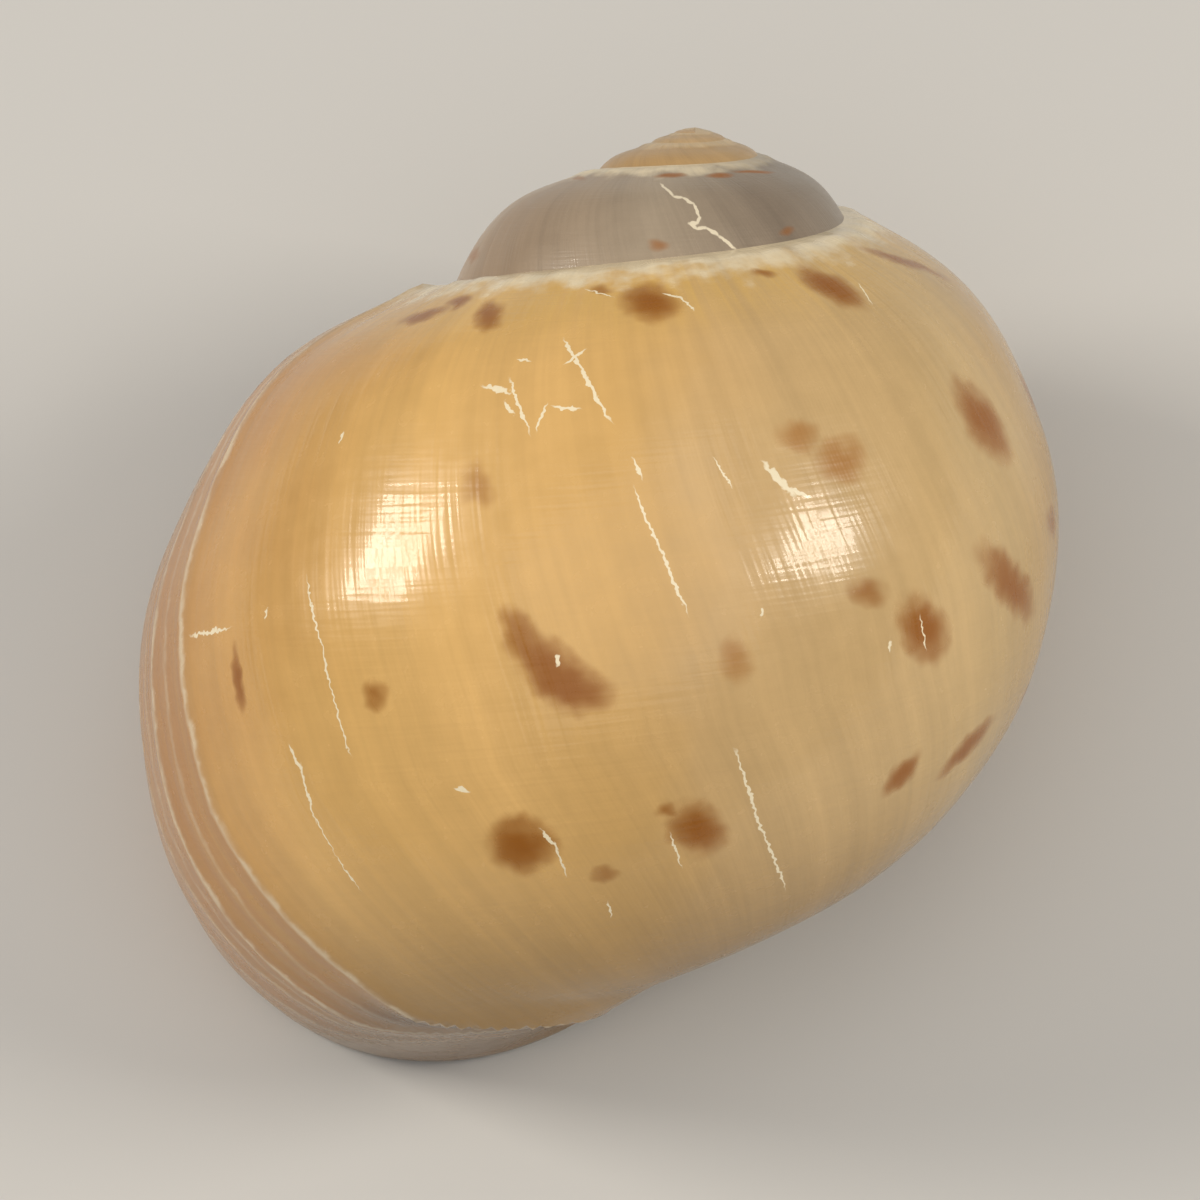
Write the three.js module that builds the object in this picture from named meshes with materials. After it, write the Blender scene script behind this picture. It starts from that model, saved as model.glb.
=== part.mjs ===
// Moon snail shell: one grown, hollow, right-handed spiral shell, lying on its aperture.
// Millimetres. The shell is worked out with its coiling axis along +Z, apex up at the origin,
// and is then laid down: apex towards +Y, aperture facing the ground, lowest points at Z = 0.
//
// The wall is one closed skin. Growth runs in turns; turn 0 is the left flank and the lip is a
// little past it. Around a whorl's section the angle starts at the suture (up), passes the flank
// (0), the base (-90) and ends on the columella, inside the umbilicus.
import * as THREE from 'three';

// Driving dimensions ---------------------------------------------------------------------------
const SECTION_RADIUS = 14.5;        // radius of the whorl's section at turn 0
const CENTRE_OUT = 7.51;            // middle of the section, out from the coiling axis
const CENTRE_DROP = 23.02;          // middle of the section, down from the apex
const SUTURE_ANGLE = 84;            // section angle where a whorl joins the one before it
const LIP_TURN = 0.0625;            // where the shell stops growing
const FIRST_TURN = -4.25;           // start of the first whorl
const CAVITY_TURN = -1.25;          // how far back the hollow is followed
const OUTER_WALL = 1.15;            // wall thickness on the flank of the last whorl
const COLUMELLA_WALL = 2.4;         // wall thickness beside the umbilicus
const UMBILICUS_RADIUS = 2.2;       // open umbilicus at turn 0
const UMBILICUS_SOFTNESS = 0.9;     // rounding where the base turns up into the umbilicus
const CALLUS_SPREAD = 1.1;          // how far the thickened columella covers the umbilicus
const UMBILICUS_RIM_ANGLE = -112;   // where the next whorl's columella meets this whorl
const COLUMELLA_ANGLE = -190;       // last section angle, at the top of the columella
const LEAD = 1 / 16;                // turns by which the suture end of the lip grows ahead
const REST_TURN = [-56.7, 17.5, -2.3]; // degrees about X, Y and Z that lay the shell on its lip

// Growth: exponents per turn and per turn squared, and how the proportions change per turn
const RADIAL_GROWTH = [0.772, 0.006]; // the section and its distance from the axis
const DROP_GROWTH = [0.72, -0.009]; // the section's depth below the apex
const WIDENING = 0.041;             // extra distance from the axis
const TALLNESS = 1.038;             // height of the section over its width, at turn 0
const FLATTENING = -0.288;          // change of that height
const WALL_GROWTH = 0.6;            // power of the radial growth by which the wall thickens
const EARLY_TURN = -2.2;            // before this the section keeps its shape
const SEAT = { start: 23, perTurn: -25.8, perTurnSquared: -8, earliest: -1.6 }; // suture's seat

// Out-of-roundness of the section, as shares of its radius
const SHAPE_TWIST = 8.6;            // degrees by which the waves turn, per turn of growth
const WAVES = [
  { count: 2, height: 0.074, angle: 155 },
  { count: 3, height: -0.058, angle: -16 },
  { count: 4, height: 0.014, angle: 46 },
];
const SWELLS = [
  { height: -0.044, perTurn: -0.023, angle: 66, width: 17 }, // flattened shoulder
  { height: -0.036, perTurn: 0, angle: 32, width: 20 },      // upper flank
  { height: -0.016, perTurn: 0.066, angle: -48, width: 24 }, // lower flank
  { height: -0.008, perTurn: -0.018, angle: -88, width: 22 }, // base
];
const BASE_SWELL = { height: 0.052, angle: -90, width: 24, turn: -0.2, turns: 0.22 };
const RAISED_WHORL = { share: 0.084, turn: -1.15, turns: 0.4 }; // the whorl before stands up

// Section angles over which a whorl leans on the one before it, and over which the wall thickens
const SUTURE_BLEND = 63;
const COLUMELLA_BLEND = 60;
const THICKENING = [-80, -130];
const CALLUS = { turns: 0.09, angle: -150, width: 26 };

// Mesh fineness
const COLUMNS_PER_TURN = 32;
const SHOULDER_ROWS = 8;
const FLANK_ROWS = 13;
const UMBILICUS_ROWS = 5;
const FOOT_ANGLE = 12;              // section angle between a seam and the row beside it
const TIP_RISE = 0.1;               // how far the apex stands over the first whorl

const DEGREE = Math.PI / 180;
const COLUMN_SHIFT = COLUMNS_PER_TURN * (1 - LEAD);
const ATTACH_ROW = SHOULDER_ROWS;
const RIM_ROW = ATTACH_ROW + 1 + FLANK_ROWS + 1;
const LAST_ROW = RIM_ROW + UMBILICUS_ROWS;
const LAST_COLUMN = Math.round((LIP_TURN - FIRST_TURN) * COLUMNS_PER_TURN);
const CAVITY_COLUMN = Math.round((CAVITY_TURN - FIRST_TURN) * COLUMNS_PER_TURN);
const FULL_COLUMN = LAST_COLUMN - COLUMN_SHIFT;

const bell = (x, middle, width) => Math.exp(-(((x - middle) / width) ** 2));
const lerp = (a, b, s) => a + (b - a) * s;

// Growth ---------------------------------------------------------------------------------------
const growth = ([rate, change], turn) => Math.exp(rate * turn + change * turn ** 2);
const radialGrowth = (turn) => growth(RADIAL_GROWTH, turn);

// Section angle, on the whorl before, that the suture follows: it sinks as the shell grows.
function attachAngle(turn) {
  const t = Math.max(turn, SEAT.earliest);
  return SEAT.start + SEAT.perTurn * t + SEAT.perTurnSquared * t ** 2;
}

// Out-of-roundness of the section: flattened shoulder, full flank and a base that fills out.
function sectionShape(turn, angle) {
  const t = Math.max(turn, EARLY_TURN);
  const twisted = angle - SHAPE_TWIST * t;
  const base = BASE_SWELL;
  let shape = 1 + base.height * bell(angle, base.angle, base.width) * bell(turn, base.turn, base.turns);
  for (const wave of WAVES) {
    shape += wave.height * Math.cos(wave.count * (twisted - wave.angle) * DEGREE);
  }
  for (const swell of SWELLS) {
    shape += (swell.height + swell.perTurn * t) * bell(angle, swell.angle, swell.width);
  }
  return shape;
}

// Thickening of the columella that spreads over the umbilicus close to the lip.
function callus(turn, angle) {
  return CALLUS_SPREAD * bell(turn, LIP_TURN, CALLUS.turns) * bell(angle, CALLUS.angle, CALLUS.width);
}

// A whorl's own section, before it is joined to the whorl above: [out from axis, height].
function freeSection(turn, angle) {
  const t = Math.max(turn, EARLY_TURN);
  const scale = radialGrowth(turn);
  const radius = SECTION_RADIUS * scale * sectionShape(turn, angle);
  const out = CENTRE_OUT * scale * Math.exp(WIDENING * t) + radius * Math.cos(angle * DEGREE);
  const raised = RAISED_WHORL.share * bell(turn, RAISED_WHORL.turn, RAISED_WHORL.turns);
  const drop = CENTRE_DROP * growth(DROP_GROWTH, turn) * (1 - raised);
  const halfHeight = radius * TALLNESS * Math.exp(FLATTENING * t);
  const height = halfHeight * Math.sin(angle * DEGREE) - drop;
  const hole = UMBILICUS_RADIUS * scale - callus(turn, angle);
  const soft = UMBILICUS_SOFTNESS * scale;
  return [hole + soft * Math.log(1 + Math.exp((out - hole) / soft)), height];
}

// The section with both of its edges carried onto the whorl before it.
function joinedSection(turn, angle, depth = 3) {
  const point = freeSection(turn, angle);
  if (depth === 0) return point;
  const fromSuture = Math.min(1, Math.max(0, (SUTURE_ANGLE - angle) / SUTURE_BLEND));
  const fromColumella = Math.min(1, Math.max(0, (angle - COLUMELLA_ANGLE) / COLUMELLA_BLEND));
  const joints = [
    [fromSuture, SUTURE_ANGLE, attachAngle(turn)],
    [fromColumella, COLUMELLA_ANGLE, UMBILICUS_RIM_ANGLE],
  ];
  for (const [away, edgeAngle, seatAngle] of joints) {
    if (away === 1) continue;
    const pull = (1 - away) ** 2 * (1 + 2 * away);
    const seat = joinedSection(turn - 1, seatAngle, depth - 1);
    const edge = freeSection(turn, edgeAngle);
    point[0] += pull * (seat[0] - edge[0]);
    point[1] += pull * (seat[1] - edge[1]);
  }
  return point;
}

function spiralPoint(turn, [out, height]) {
  const around = (-90 - 360 * turn) * DEGREE;
  return new THREE.Vector3(out * Math.sin(around), -out * Math.cos(around), height);
}

// Grid: a column is one growth line, a row one spiral line -------------------------------------
const turnOfColumn = (column) => LIP_TURN - (LAST_COLUMN - column) / COLUMNS_PER_TURN;

// How far, in turns, a growth line runs ahead on a row.
function leadOfRow(row) {
  if (row <= ATTACH_ROW) return LEAD * (1 - row / ATTACH_ROW);
  if (row >= RIM_ROW) return -LEAD * (1 - (row - RIM_ROW) / UMBILICUS_ROWS);
  return -LEAD * Math.sin(Math.PI / 2 * (row - ATTACH_ROW) / (RIM_ROW - ATTACH_ROW));
}

// Section angle of a row: the next whorl sits between the attach row and the rim row.
function angleOfRow(turn, row) {
  const attach = attachAngle(turn + 1);
  const flankTop = attach - FOOT_ANGLE;
  const flankEnd = UMBILICUS_RIM_ANGLE + FOOT_ANGLE;
  if (row <= ATTACH_ROW) return lerp(SUTURE_ANGLE, attach, row / ATTACH_ROW);
  if (row >= RIM_ROW) {
    return lerp(UMBILICUS_RIM_ANGLE, COLUMELLA_ANGLE, (row - RIM_ROW) / UMBILICUS_ROWS);
  }
  return lerp(flankTop, flankEnd, (row - ATTACH_ROW - 1) / FLANK_ROWS);
}

function outerPoint(column, row) {
  const turn = turnOfColumn(column) + leadOfRow(row);
  return spiralPoint(turn, joinedSection(turn, angleOfRow(turn, row)));
}

// The same place on the inside of the wall, moved in along the section's normal.
function innerPoint(column, row) {
  const turn = turnOfColumn(column) + leadOfRow(row);
  const angle = angleOfRow(turn, row);
  const [out, height] = joinedSection(turn, angle);
  const [nextOut, nextHeight] = joinedSection(turn, angle - 1);
  const step = Math.hypot(nextOut - out, nextHeight - height);
  const [thickens, thickest] = THICKENING;
  const towardsColumella = THREE.MathUtils.smoothstep(-angle, -thickens, -thickest);
  const fullWall = lerp(OUTER_WALL, COLUMELLA_WALL, towardsColumella);
  const wall = fullWall * radialGrowth(turn) ** WALL_GROWTH + callus(turn, angle);
  const inset = wall / step;
  return spiralPoint(turn, [out + (nextHeight - height) * inset, height - (nextOut - out) * inset]);
}

// One closed skin ------------------------------------------------------------------------------
function shellGeometry() {
  const positions = [];
  const faces = [];
  const numbers = new Map();

  function vertex(name, makePoint) {
    if (!numbers.has(name)) {
      numbers.set(name, positions.length / 3);
      positions.push(...makePoint().toArray());
    }
    return numbers.get(name);
  }

  // A whorl's suture row is the attach row of the whorl before it, and so on the columella.
  function outer(column, row) {
    if (row === 0 && column >= COLUMN_SHIFT) return outer(column - COLUMN_SHIFT, ATTACH_ROW);
    if (row === LAST_ROW && column === LAST_COLUMN) return outer(column - COLUMN_SHIFT, RIM_ROW);
    return vertex(`outer ${column} ${row}`, () => outerPoint(column, row));
  }

  function inner(column, row) {
    if (row === 0) return outer(column - COLUMN_SHIFT, ATTACH_ROW + 1);
    if (row === LAST_ROW) return outer(column - COLUMN_SHIFT, RIM_ROW - 1);
    return vertex(`inner ${column} ${row}`, () => innerPoint(column, row));
  }

  function quad(a, b, c, d) {
    faces.push(a, c, b, a, d, c);
  }

  function strip(skin, column, fromRow, toRow) {
    for (let row = fromRow; row < toRow; row += 1) {
      const near = [skin(column, row), skin(column, row + 1)];
      const far = [skin(column + 1, row + 1), skin(column + 1, row)];
      const corners = [...near, ...far];
      if (skin === inner) corners.reverse();
      quad(...corners);
    }
  }

  function fan(loop, centre) {
    const hub = vertex(`hub ${loop[0]}`, () => centre);
    loop.forEach((corner, i) => faces.push(hub, loop[(i + 1) % loop.length], corner));
  }

  const pointOf = (number) => new THREE.Vector3().fromArray(positions, 3 * number);
  const middleOf = (loop) => loop.reduce((sum, n) => sum.add(pointOf(n)), new THREE.Vector3())
    .divideScalar(loop.length);

  // Visible part of the early whorls, and the part that the hollow leaves bare.
  for (let column = 0; column < FULL_COLUMN; column += 1) {
    strip(outer, column, 0, ATTACH_ROW);
    if (column >= CAVITY_COLUMN - COLUMN_SHIFT) strip(outer, column, ATTACH_ROW + 1, RIM_ROW - 1);
  }
  // The last whorl, all the way round its section, and the inside of the wall.
  for (let column = FULL_COLUMN; column < LAST_COLUMN; column += 1) {
    strip(outer, column, 0, LAST_ROW);
  }
  for (let column = CAVITY_COLUMN; column < LAST_COLUMN; column += 1) {
    strip(inner, column, 0, LAST_ROW);
  }
  // Lip
  for (let row = 0; row < LAST_ROW; row += 1) {
    const outside = [outer(LAST_COLUMN, row), outer(LAST_COLUMN, row + 1)];
    const inside = [inner(LAST_COLUMN, row + 1), inner(LAST_COLUMN, row)];
    quad(...outside, ...inside);
  }
  // Tip of the spire
  const tip = [];
  for (let column = 0; column <= COLUMN_SHIFT; column += 1) tip.push(outer(column, 0));
  for (let row = ATTACH_ROW - 1; row > 0; row -= 1) tip.push(outer(0, row));
  fan(tip, spiralPoint(0, [0, middleOf(tip).z + TIP_RISE]));
  // Blind end of the umbilicus
  const navel = [];
  for (let column = LAST_COLUMN; column >= FULL_COLUMN; column -= 1) {
    navel.push(outer(column, LAST_ROW));
  }
  for (let row = LAST_ROW - 1; row > RIM_ROW; row -= 1) navel.push(outer(FULL_COLUMN, row));
  fan(navel, spiralPoint(0, [0, middleOf(navel).z]));
  // Blind end of the hollow
  const end = [];
  for (let row = 0; row <= LAST_ROW; row += 1) end.push(inner(CAVITY_COLUMN, row));
  for (let row = RIM_ROW - 2; row > ATTACH_ROW + 1; row -= 1) {
    end.push(outer(CAVITY_COLUMN - COLUMN_SHIFT, row));
  }
  fan(end, middleOf(end));

  const geometry = new THREE.BufferGeometry();
  geometry.setAttribute('position', new THREE.Float32BufferAttribute(positions, 3));
  geometry.setIndex(faces);
  return geometry;
}

// Glossy, warm tan calcium carbonate
const glaze = new THREE.MeshStandardMaterial({ color: 0xcba26a, roughness: 0.22, metalness: 0 });

const shell = new THREE.Mesh(shellGeometry(), glaze);
shell.name = 'shell';
shell.rotation.set(...REST_TURN.map((angle) => angle * DEGREE));
shell.updateMatrixWorld();
const extent = new THREE.Box3().setFromObject(shell, true);
const middle = extent.getCenter(new THREE.Vector3());
shell.position.set(-middle.x, -middle.y, -extent.min.z);

const group = new THREE.Group();
group.add(shell);

export default group;
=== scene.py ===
import math

import bpy
import numpy as np
from mathutils import Matrix, Vector


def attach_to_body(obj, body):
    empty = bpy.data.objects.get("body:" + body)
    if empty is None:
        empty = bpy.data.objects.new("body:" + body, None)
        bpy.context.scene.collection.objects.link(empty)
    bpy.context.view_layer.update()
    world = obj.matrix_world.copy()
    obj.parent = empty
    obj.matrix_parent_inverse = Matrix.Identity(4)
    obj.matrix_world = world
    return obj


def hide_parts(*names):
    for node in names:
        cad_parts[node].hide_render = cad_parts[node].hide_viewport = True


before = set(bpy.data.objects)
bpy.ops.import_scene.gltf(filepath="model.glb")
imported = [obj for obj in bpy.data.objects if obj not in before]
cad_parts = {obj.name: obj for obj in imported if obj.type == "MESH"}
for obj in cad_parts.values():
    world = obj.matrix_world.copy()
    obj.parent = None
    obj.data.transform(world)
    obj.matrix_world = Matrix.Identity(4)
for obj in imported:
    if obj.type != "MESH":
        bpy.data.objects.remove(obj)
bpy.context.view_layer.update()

# Moon snail shell. The shell is worked out in millimetres with its coiling axis along +Z and its
# apex at the origin, by the same growth law as the CAD solid, and is then laid on its aperture.
# Growth runs in turns: turn 0 is the left flank and the lip is a little past it. Around a
# whorl's section the angle starts at the suture (up), passes the flank (0) and the base (-90)
# and ends on the columella, inside the umbilicus. The growth law's numbers are rounded results of
# a fit to the outline and sutures of the photographed shell.

MM = 0.001
DEGREE = math.pi / 180

# Driving dimensions of the CAD solid ------------------------------------------------------------
SECTION_RADIUS = 14.5
CENTRE_OUT = 7.51
CENTRE_DROP = 23.02
SUTURE_ANGLE = 84
LIP_TURN = 0.0625
FIRST_TURN = -4.25
CAVITY_TURN = -1.25
OUTER_WALL = 1.15
COLUMELLA_WALL = 2.4
UMBILICUS_RADIUS = 2.2
UMBILICUS_SOFTNESS = 0.9
CALLUS_SPREAD = 1.1
UMBILICUS_RIM_ANGLE = -112
COLUMELLA_ANGLE = -190
LEAD = 1 / 16
REST_TURN = (-56.7, 17.5, -2.3)

RADIAL_GROWTH = (0.772, 0.006)
DROP_GROWTH = (0.72, -0.009)
WIDENING = 0.041
TALLNESS = 1.038
FLATTENING = -0.288
WALL_GROWTH = 0.6
EARLY_TURN = -2.2
SEAT = (23, -25.8, -8)
EARLIEST_SEAT = -1.6

SHAPE_TWIST = 8.6
WAVES = ((2, 0.074, 155), (3, -0.058, -16), (4, 0.014, 46))  # count, height, angle
SWELLS = (                                                    # height, per turn, angle, width
    (-0.044, -0.023, 66, 17),
    (-0.036, 0, 32, 20),
    (-0.016, 0.066, -48, 24),
    (-0.008, -0.018, -88, 22),
)
BASE_SWELL = 0.052
RAISED_WHORL = 0.084
SUTURE_BLEND = 63
COLUMELLA_BLEND = 60
THICKENING = (80, 130)

# Mesh fineness: a column is one growth line, a row one spiral line
COLUMNS_PER_TURN = 208
SHOULDER_ROWS = 34
FLANK_ROWS = 52
FOOT_ROWS = 4
UMBILICUS_ROWS = 20
FOOT_ANGLE = 12
CAD_FLANK_CELLS = 15        # the CAD solid's rows between its seams, which set the growth lines

COLUMN_SHIFT = round(COLUMNS_PER_TURN * (1 - LEAD))
ATTACH_ROW = SHOULDER_ROWS
RIM_ROW = ATTACH_ROW + FLANK_ROWS + 2 * FOOT_ROWS
LAST_ROW = RIM_ROW + UMBILICUS_ROWS
LAST_COLUMN = round((LIP_TURN - FIRST_TURN) * COLUMNS_PER_TURN)
CAVITY_COLUMN = round((CAVITY_TURN - FIRST_TURN) * COLUMNS_PER_TURN)
FULL_COLUMN = LAST_COLUMN - COLUMN_SHIFT

# The surface map that the markings are placed on, in millimetres: along growth and across it
MM_PER_TURN = 120
MM_PER_DEGREE = 0.21


def bell(x, middle, width):
    return np.exp(-(((x - middle) / width) ** 2))


def lerp(a, b, s):
    return a + (b - a) * s


def smooth(x, low, high):
    s = np.clip((x - low) / (high - low), 0, 1)
    return s * s * (3 - 2 * s)


# Growth -----------------------------------------------------------------------------------------
def growth(rates, turn):
    return np.exp(rates[0] * turn + rates[1] * turn**2)


def attach_angle(turn):
    t = np.maximum(turn, EARLIEST_SEAT)
    return SEAT[0] + SEAT[1] * t + SEAT[2] * t**2


def section_shape(turn, angle):
    t = np.maximum(turn, EARLY_TURN)
    shape = 1 + BASE_SWELL * bell(angle, -90, 24) * bell(turn, -0.2, 0.22)
    for count, height, place in WAVES:
        shape = shape + height * np.cos(count * (angle - SHAPE_TWIST * t - place) * DEGREE)
    for height, per_turn, place, width in SWELLS:
        shape = shape + (height + per_turn * t) * bell(angle, place, width)
    return shape


def callus(turn, angle):
    return CALLUS_SPREAD * bell(turn, LIP_TURN, 0.09) * bell(angle, -150, 26)


def free_section(turn, angle):
    t = np.maximum(turn, EARLY_TURN)
    scale = growth(RADIAL_GROWTH, turn)
    radius = SECTION_RADIUS * scale * section_shape(turn, angle)
    out = CENTRE_OUT * scale * np.exp(WIDENING * t) + radius * np.cos(angle * DEGREE)
    drop = CENTRE_DROP * growth(DROP_GROWTH, turn) * (1 - RAISED_WHORL * bell(turn, -1.15, 0.4))
    height = radius * TALLNESS * np.exp(FLATTENING * t) * np.sin(angle * DEGREE) - drop
    hole = UMBILICUS_RADIUS * scale - callus(turn, angle)
    soft = UMBILICUS_SOFTNESS * scale
    return hole + soft * np.logaddexp(0, (out - hole) / soft), height


def joined_section(turn, angle, depth=3):
    out, height = free_section(turn, angle)
    if depth == 0:
        return out, height
    joints = (
        ((SUTURE_ANGLE - angle) / SUTURE_BLEND, SUTURE_ANGLE, attach_angle(turn)),
        ((angle - COLUMELLA_ANGLE) / COLUMELLA_BLEND, COLUMELLA_ANGLE, UMBILICUS_RIM_ANGLE + 0 * turn),
    )
    for away, edge_angle, seat_angle in joints:
        away = np.clip(away, 0, 1)
        pull = (1 - away) ** 2 * (1 + 2 * away)
        seat = joined_section(turn - 1, seat_angle, depth - 1)
        edge = free_section(turn, edge_angle + 0 * turn)
        out = out + pull * (seat[0] - edge[0])
        height = height + pull * (seat[1] - edge[1])
    return out, height


def spiral_points(turn, out, height):
    around = (-90 - 360 * turn) * DEGREE
    return np.stack([out * np.sin(around), -out * np.cos(around), height], -1)


# Rows and columns -------------------------------------------------------------------------------
def lead_of_rows(row):
    """How far, in turns, a growth line runs ahead on each row."""
    foot = np.clip((row - ATTACH_ROW) / FOOT_ROWS, 0, 1)
    flank = np.clip((row - ATTACH_ROW - FOOT_ROWS) / FLANK_ROWS, 0, 1)
    rim = np.clip((row - RIM_ROW + FOOT_ROWS) / FOOT_ROWS, 0, 1)
    across = (foot + flank * (CAD_FLANK_CELLS - 2) + rim) / CAD_FLANK_CELLS
    shoulder = LEAD * (1 - row / ATTACH_ROW)
    umbilicus = -LEAD * (1 - (row - RIM_ROW) / UMBILICUS_ROWS)
    middle = -LEAD * np.sin(math.pi / 2 * across)
    return np.where(row <= ATTACH_ROW, shoulder, np.where(row >= RIM_ROW, umbilicus, middle))


def angle_of_rows(turn, row):
    """Section angle of each row: the next whorl sits between the attach row and the rim row."""
    attach = attach_angle(turn + 1)
    rim = UMBILICUS_RIM_ANGLE
    stops = [0, ATTACH_ROW, ATTACH_ROW + FOOT_ROWS, RIM_ROW - FOOT_ROWS, RIM_ROW, LAST_ROW]
    angles = [SUTURE_ANGLE, attach, attach - FOOT_ANGLE, rim + FOOT_ANGLE, rim, COLUMELLA_ANGLE]
    result = np.full(np.broadcast(turn, row).shape, float(COLUMELLA_ANGLE))
    for i in range(len(stops) - 1):
        inside = (row >= stops[i]) & (row <= stops[i + 1])
        share = (row - stops[i]) / (stops[i + 1] - stops[i])
        result = np.where(inside, lerp(angles[i], angles[i + 1], share), result)
    return result


COLUMNS = np.arange(LAST_COLUMN + 1)[:, None]
ROWS = np.arange(LAST_ROW + 1)[None, :]
COLUMN_TURN = LIP_TURN - (LAST_COLUMN - COLUMNS) / COLUMNS_PER_TURN
TURN = COLUMN_TURN + lead_of_rows(ROWS)
ANGLE = angle_of_rows(TURN, ROWS)


# Relief that the CAD solid leaves out: growth checks near the lip and a slightly uneven surface --
CHECKS = (      # turn of the growth line, height in mm, width in turns, drift in turns per degree
    (-0.062, 0.16, 0.005, 0),
    (-0.046, 0.07, 0.004, 0.0001),
    (-0.032, 0.16, 0.005, 0.0002),
    (-0.018, 0.06, 0.004, 0.0001),
    (-0.004, 0.10, 0.005, 0),
    (0.020, 0.10, 0.006, 0),
    (0.043, 0.06, 0.005, 0),
)
TERRACE_TURN = -0.062        # the base ends in a low step at the first check
TERRACE_START = -0.120
TERRACE_FALL = 0.014
TERRACE_HEIGHT = 0.50
TERRACE_ANGLES = (-50, -78)
TERRACE_END = (-135, -95)
BASE_DELAY = 0.065           # how far back the checks bend on the base, in turns
BASE_DELAY_ANGLES = (-62, -82)
COLLAR = 0.14                # fullness of the whorl's edge along the suture
COLLAR_ANGLE = 78
COLLAR_WIDTH = 4
COLLAR_RIPPLES = ((0.4, 31), (0.3, 12.7))       # share, waves a turn
UNEVENNESS = (      # height in mm, waves a turn, phase, waves across by angle, phase
    (0.035, 7.3, 0, 3.1, 1),
    (0.022, 19.1, 2, 1.3, math.pi / 2),
)
EDGE_ROWS = 2                # the relief fades out over this many rows at both seams


def relief():
    """Height of the relief over the CAD surface, in mm, at each point of the grid."""
    lines = COLUMN_TURN + BASE_DELAY * smooth(-ANGLE, *(-a for a in BASE_DELAY_ANGLES))
    lift = 0 * TURN
    for turn, height, width, drift in CHECKS:
        lift = lift + height * bell(lines, turn - drift * ANGLE, width)
    terrace = smooth(lines, TERRACE_START, TERRACE_TURN)
    terrace = terrace * smooth(-lines, -TERRACE_TURN - TERRACE_FALL, -TERRACE_TURN)
    terrace = terrace * smooth(-ANGLE, *(-a for a in TERRACE_ANGLES)) * smooth(ANGLE, *TERRACE_END)
    lift = lift + TERRACE_HEIGHT * terrace
    around = 2 * math.pi * lines
    for height, waves, phase, waves_across, phase_across in UNEVENNESS:
        across = np.sin(ANGLE * waves_across * DEGREE + phase_across)
        lift = lift + height * np.sin(around * waves + phase) * across
    ripple = 1
    for share, waves in COLLAR_RIPPLES:
        ripple = ripple + share * np.sin(around * waves)
    lift = lift + COLLAR * bell(ANGLE, COLLAR_ANGLE, COLLAR_WIDTH) * ripple
    free = smooth(ROWS, 0, EDGE_ROWS) * smooth(-ROWS, -LAST_ROW, -LAST_ROW + EDGE_ROWS)
    return lift * growth(RADIAL_GROWTH, TURN) * free


def outer_points(raised):
    out, height = joined_section(TURN, ANGLE)
    next_out, next_height = joined_section(TURN, ANGLE - 1)
    step = np.hypot(next_out - out, next_height - height)
    along = (next_height - height) / step, -(next_out - out) / step
    lift = relief() if raised else 0
    return spiral_points(TURN, out - along[0] * lift, height - along[1] * lift)


def inner_points():
    """The inside of the wall, moved in along the section's normal."""
    out, height = joined_section(TURN, ANGLE)
    next_out, next_height = joined_section(TURN, ANGLE - 1)
    step = np.hypot(next_out - out, next_height - height)
    full_wall = lerp(OUTER_WALL, COLUMELLA_WALL, smooth(-ANGLE, *THICKENING))
    wall = full_wall * growth(RADIAL_GROWTH, TURN) ** WALL_GROWTH + callus(TURN, ANGLE)
    inset = wall / step
    moved_out = out + (next_height - height) * inset
    moved_height = height - (next_out - out) * inset
    return spiral_points(TURN, moved_out, moved_height)


def rim_points(outer, inner):
    """A rounded lip between the two skins, swelling in the direction of growth."""
    ahead = outer[LAST_COLUMN] - outer[LAST_COLUMN - 1]
    ahead = ahead / np.linalg.norm(ahead, axis=1, keepdims=True)
    middle = (outer[LAST_COLUMN] + inner[LAST_COLUMN]) / 2
    half = (outer[LAST_COLUMN] - inner[LAST_COLUMN]) / 2
    swell = np.linalg.norm(half, axis=1, keepdims=True)
    bends = np.linspace(0, math.pi, FOOT_ROWS + 1)[1:-1]
    rings = [middle + half * math.cos(bend) + ahead * swell * math.sin(bend) for bend in bends]
    return np.stack(rings, 1)


class Skin:
    """Collects quads and triangles with their corner values: map place, growth line and glaze."""

    def __init__(self):
        self.faces = []
        self.corners = []

    def quads(self, number, values, flip=False):
        """number and values are grids; one quad for each of their cells."""
        corner_sets = [(0, 0), (1, 0), (1, 1), (0, 1)]
        if flip:
            corner_sets.reverse()
        wide, high = number.shape
        grids = [(slice(a, wide - 1 + a), slice(b, high - 1 + b)) for a, b in corner_sets]
        self.faces += np.stack([number[g] for g in grids], -1).reshape(-1, 4).tolist()
        self.corners.append(np.stack([values[g] for g in grids], -2).reshape(-1, values.shape[-1]))

    def fan(self, loop, values, hub, hub_value):
        for i in range(len(loop)):
            j = (i + 1) % len(loop)
            self.faces.append([hub, loop[j], loop[i]])
            self.corners.append(np.array([hub_value, values[j], values[i]]))


# The bake map: outside, inside and lip are strips, the three ends are discs above them
BAKE_MARGIN = 0.01
BAKE_OUTSIDE = (0.01, 0.59)
BAKE_INSIDE = (0.61, 0.91)
BAKE_LIP = (0.93, 0.95)
BAKE_DISC_HEIGHT = 0.975
BAKE_DISC_RADIUS = 0.012
BAKE_DISC_SPACING = 0.1
PARIETAL_FADE = 0.06         # turns over which the wall that the aperture faces takes its glaze


def bake_inset(share):
    """Keeps a share of the bake map's width off its two sides."""
    return lerp(BAKE_MARGIN, 1 - BAKE_MARGIN, share)


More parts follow.
